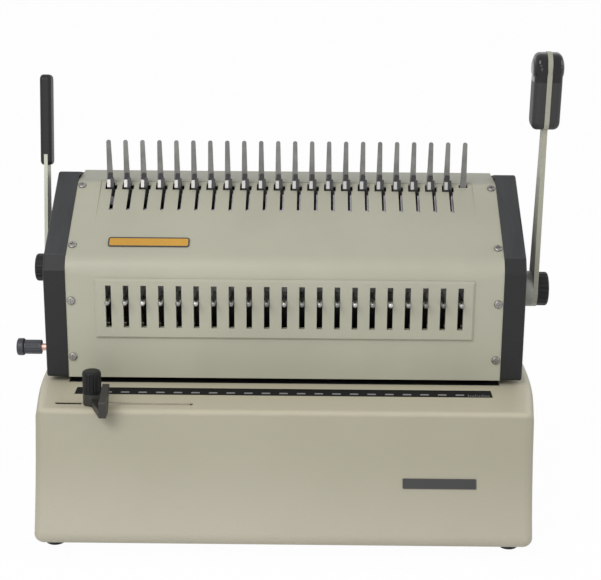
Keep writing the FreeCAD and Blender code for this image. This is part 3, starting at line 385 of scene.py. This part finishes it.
ALONG_X = (0.12, 3.0, 3.0)
ground_steel = plated(
    "ground_steel", (0.50, 0.50, 0.52), (0.38, 0.38, 0.40), 0.26, ALONG_X, 520.0
)
dress(
    ground_steel, "punch_racks", "return_springs", "drive_shaft",
    "drive_pinions", "opener_shaft", "opener_pinions",
)
near_black_steel = plated(
    "near_black_steel", (0.030, 0.030, 0.033), (0.020, 0.020, 0.023), 0.36, ALONG_X, 520.0, 0.7
)
dress(near_black_steel, "die_plate", "punch_guide_plate", "punch_pins")
bar_plate = plated("bar_plate", (0.50, 0.50, 0.48), (0.16, 0.16, 0.155), 0.38, grain=900.0)
dress(bar_plate, "pressure_bar")
bronze = plated("bronze", (0.62, 0.40, 0.20), (0.48, 0.30, 0.15), 0.30)
dress(bronze, "shaft_bushes")


# Each selector is a turned and chromed pin with a rounded end. Pulled out, it frees its
# punch from the bar.

pin_chrome = plated(
    "pin_chrome", (0.60, 0.60, 0.60), (0.14, 0.14, 0.14), 0.20, (1.0, 0.6, 1.0), 700.0
)
dress(pin_chrome, *["selector_pin_%02d" % (hole + 1) for hole in range(HOLES)])


# The comb opener: a row of stamped and plated fingers, and plated hooks whose noses and
# links are painted black as painted shade, on a plated carrier that slides down behind the slope.

finger_steel = plated(
    "finger_steel", (0.27, 0.27, 0.26), (0.19, 0.19, 0.185), 0.38, (2.0, 2.0, 0.2), 380.0
)
dress(finger_steel, "comb_fingers")
carrier_steel = plated(
    "carrier_steel", (0.66, 0.65, 0.70), (0.54, 0.53, 0.58), 0.30, (0.2, 2.0, 2.0), 380.0
)
dress(carrier_steel, "hook_carrier")
BLACK_FROM = 0.0056
LINK_FROM = 0.0008
hook_steel, start = new_finish("hook_steel")
here = place_on_piece(start)
height = out_of_slope(start, here)
# Painted shade: the hooks' noses and the links beside them are painted black, matt and unmetallic.
nose = spread(start, height, BLACK_FROM - 0.0002, BLACK_FROM + 0.0002, 0.0, 1.0)
in_pitch = start.maths("FLOORED_MODULO", along(start, here, "X"), PITCH) - PITCH / 2
link = spread(start, in_pitch, LINK_FROM - 0.0001, LINK_FROM + 0.0001, 0.0, 1.0)
painted_hook_shade = nose + (1.0 - nose) * link
drawn = speckle(start, place_on_piece(start, (1.0, 0.3, 0.3)), 520.0, 4.0, 0.6)
bright = blend_colours(start, drawn, (0.50, 0.49, 0.48), (0.34, 0.33, 0.32))
close_finish(
    start,
    {
        "Base Color": blend_colours(start, painted_hook_shade, bright, (0.020, 0.020, 0.022)),
        "Roughness": 0.30 + drawn * 0.12 + painted_hook_shade * 0.12,
        "Metallic": 1.0 - painted_hook_shade,
        "Normal": relief(start, drawn, 0.00003),
    },
    {},
)
dress(hook_steel, "comb_hooks")


# The levers: a long painted arm with a two-part black grip on the right for the punch,
# and a short painted arm with a moulded grip on the left for the comb, its paint made
# lighter as painted light from the left. Each is clamped to its shaft by a fluted knob.

arm_paint = coated(
    "arm_paint", (0.370, 0.365, 0.295), (0.335, 0.330, 0.265), 0.42, 1500.0, 0.00006
)
dress(arm_paint, "punch_lever_arm")
# Painted light: the comb arm's paint is lighter than the punch arm's, standing in for light from the
# left.
comb_arm_painted_light = coated(
    "comb_arm_painted_light", (0.580, 0.600, 0.500), (0.530, 0.550, 0.455), 0.42, 1500.0, 0.00006
)
dress(comb_arm_painted_light, "comb_lever_arm")
hub_steel = plated("hub_steel", (0.30, 0.30, 0.28), (0.22, 0.22, 0.20), 0.40)
dress(hub_steel, "punch_lever_hub")
grip_plastic = coated(
    "grip_plastic", (0.014, 0.014, 0.015), (0.010, 0.010, 0.011), 0.42, 1100.0, 0.00003, 0.3
)
dress(grip_plastic, "comb_lever_grip")
GRIP_HEAD_FROM = 0.3503
handle_plastic, start = new_finish("handle_plastic")
here = place_on_piece(start)
level = along(start, here, "Z")
head = spread(start, level, GRIP_HEAD_FROM - 0.0008, GRIP_HEAD_FROM + 0.0008, 0.0, 1.0)
fine = speckle(start, here, 1100.0, 3.0, 0.55)
body_grey = blend_colours(start, fine, (0.020, 0.020, 0.021), (0.034, 0.034, 0.035))
close_finish(
    start,
    {
        "Base Color": blend_colours(start, head, body_grey, (0.006, 0.006, 0.007)),
        "Roughness": 0.48 + fine * 0.06 - head * 0.34,
        "Normal": relief(start, fine * (1.0 - head), 0.00004),
    },
    {"Specular IOR Level": 0.4},
)
dress(handle_plastic, "punch_lever_grip")
knob_plastic = coated(
    "knob_plastic", (0.012, 0.012, 0.013), (0.008, 0.008, 0.009), 0.40, 1500.0, 0.00005, 0.25
)
dress(knob_plastic, "punch_lever_knob", "comb_lever_knob", "edge_guide_knob")


# The edge guide slides in a slot of the deck, and the depth stop is a copper-plated rod
# across the throat with a ribbed knob at its left end.

guide_plastic = coated(
    "guide_plastic", (0.022, 0.021, 0.018), (0.015, 0.014, 0.012), 0.42, 1600.0, 0.00007
)
dress(guide_plastic, "edge_guide_fence")
DRAWN_X = (0.2, 2.0, 2.0)
slider_steel = plated("slider_steel", (0.70, 0.64, 0.62), (0.60, 0.55, 0.53), 0.30, DRAWN_X)
dress(slider_steel, "edge_guide_slider")
copper_plate = plated("copper_plate", (0.66, 0.43, 0.36), (0.52, 0.33, 0.28), 0.28, DRAWN_X)
dress(copper_plate, "depth_stop_bar")
stop_plastic = coated(
    "stop_plastic", (0.042, 0.046, 0.058), (0.030, 0.033, 0.043), 0.38, 1500.0, 0.00006
)
dress(stop_plastic, "depth_knob")


# Two blank plates stand in the labels' places: an enamelled one with a dark edge, stuck
# to the lower left of the slope, and a black one on the right of the base's front.


def on_slope(x, down, out):
    """Frame of a point on the slope: X across, Y up the slope, Z out of it."""
    turn = Matrix.Rotation(SLOPE, 4, "X")
    corner = Matrix.Translation(BEND + Vector((x, 0.0, 0.0)))
    return corner @ turn @ Matrix.Translation((0.0, -down, out))


badge = bmesh.new()
lid = add_plate(badge, 0.0665, 0.0104, 0.0022, 0.0009, on_slope(-0.1114, 0.0750, 0.00005))
bmesh.ops.inset_individual(badge, faces=[lid], thickness=0.0011, depth=-0.0002)
lid.material_index = 1
bmesh.ops.recalc_face_normals(badge, faces=badge.faces)
badge_edge = coated("badge_edge", (0.045, 0.040, 0.036), (0.030, 0.027, 0.025), 0.30, 1500.0, 0.00003)
badge_enamel = coated("badge_enamel", (0.62, 0.33, 0.035), (0.54, 0.27, 0.025), 0.24, 1500.0, 0.00001)
place_piece(badge, "badge_plate", [badge_edge, badge_enamel], "machine")

FRONT_LOW = Vector((0.0, -0.152, 0.010))
FRONT_HIGH = Vector((0.0, -0.1017, 0.105))
FRONT_LEAN = math.atan2(FRONT_HIGH.z - FRONT_LOW.z, FRONT_HIGH.y - FRONT_LOW.y)
PLATE_X = 0.1224
PLATE_Z = 0.0562
part_way = (PLATE_Z - FRONT_LOW.z) / (FRONT_HIGH.z - FRONT_LOW.z)
plate_y = FRONT_LOW.y + (FRONT_HIGH.y - FRONT_LOW.y) * part_way
plate_place = Matrix.Translation((PLATE_X, plate_y, PLATE_Z)) @ Matrix.Rotation(FRONT_LEAN, 4, "X")
rating = bmesh.new()
lid = add_plate(rating, 0.0572, 0.0080, 0.0008, 0.0006, plate_place)
bmesh.ops.inset_individual(rating, faces=[lid], thickness=0.0007, depth=-0.0001)
lid.material_index = 1
bmesh.ops.recalc_face_normals(rating, faces=rating.faces)
plate_black = coated("plate_black", (0.030, 0.030, 0.032), (0.022, 0.022, 0.024), 0.30, 1500.0, 0.00002)
place_piece(rating, "blank_plate", [badge_edge, plate_black], "machine")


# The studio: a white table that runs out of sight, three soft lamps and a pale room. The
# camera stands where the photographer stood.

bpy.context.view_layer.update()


def any_ray(start, *kinds):
    """1 on a ray of any of these kinds, else 0."""
    seen = 0.0
    for kind in kinds:
        seen = start.maths("MAXIMUM", seen, start.node("ShaderNodeLightPath", {}, {}, kind))
    return seen


HALF_TABLE = 12.0
table = bmesh.new()
bmesh.ops.create_grid(table, x_segments=1, y_segments=1, size=HALF_TABLE)
table_data = bpy.data.meshes.new("table")
table.to_mesh(table_data)
table.free()
floor = bpy.data.objects.new("table", table_data)
bpy.context.scene.collection.objects.link(floor)
floor_white, start = new_finish("floor_white")
seen = any_ray(start, "Is Camera Ray", "Is Glossy Ray")
matt = start.node("ShaderNodeBsdfDiffuse", {}, {"Color": (0.88, 0.88, 0.88, 1.0)})
glow = start.node("ShaderNodeEmission", {}, {"Color": (1.0, 1.0, 1.0, 1.0), "Strength": 1.0})
mixed = start.node("ShaderNodeMixShader", {}, {0: seen * 0.97, 1: matt, 2: glow})
start.node("ShaderNodeOutputMaterial", {}, {"Surface": mixed})
table_data.materials.append(floor_white)


def soft_lamp(name, place, size, watts, colour):
    """A square area lamp that faces the machine."""
    data = bpy.data.lights.new(name, "AREA")
    data.size = size
    data.energy = watts
    data.color = colour
    lamp = bpy.data.objects.new(name, data)
    lamp.location = place
    towards = Vector((0.0, 0.0, 0.15)) - Vector(place)
    lamp.rotation_euler = towards.to_track_quat("-Z", "Y").to_euler()
    bpy.context.scene.collection.objects.link(lamp)


soft_lamp("lamp_front", (-1.0, -1.7, 1.8), 1.2, 26.0, (1.0, 1.0, 0.985))
soft_lamp("lamp_low", (-0.2, -1.5, 0.30), 0.6, 2.2, (1.0, 1.0, 1.0))
soft_lamp("lamp_side", (2.0, -0.1, 0.9), 0.9, 6.0, (1.0, 1.0, 1.0))

world = bpy.data.worlds.new("room")
world.use_nodes = True
world.node_tree.nodes.clear()
bpy.context.scene.world = world
start = Signal(world.node_tree)
seen = any_ray(start, "Is Camera Ray", "Is Glossy Ray", "Is Transmission Ray")
strength = spread(start, seen, 0.0, 1.0, 0.55, 1.0)
room = start.node(
    "ShaderNodeBackground", {}, {"Color": (1.0, 1.0, 1.0, 1.0), "Strength": strength}
)
start.node("ShaderNodeOutputWorld", {}, {"Surface": room})

PHOTO_WIDTH = 601
FOCAL_PIXELS = 1450.0
SENSOR_WIDTH = 36.0
CAMERA_PLACE = (0.0209, -1.1646, 0.5177)
PITCH_DOWN = math.radians(16.42)
YAW = math.radians(-0.403)
ROLL = math.radians(0.394)
camera_data = bpy.data.cameras.new("camera")
camera_data.sensor_fit = "HORIZONTAL"
camera_data.sensor_width = SENSOR_WIDTH
camera_data.lens = SENSOR_WIDTH * FOCAL_PIXELS / PHOTO_WIDTH
camera = bpy.data.objects.new("camera", camera_data)
turned = Matrix.Rotation(-YAW, 4, "Z")
tipped = Matrix.Rotation(math.pi / 2 - PITCH_DOWN, 4, "X")
rolled = Matrix.Rotation(ROLL, 4, "Z")
camera.matrix_world = Matrix.Translation(CAMERA_PLACE) @ turned @ tipped @ rolled
bpy.context.scene.collection.objects.link(camera)
bpy.context.scene.camera = camera
bpy.context.scene.view_settings.view_transform = "Standard"
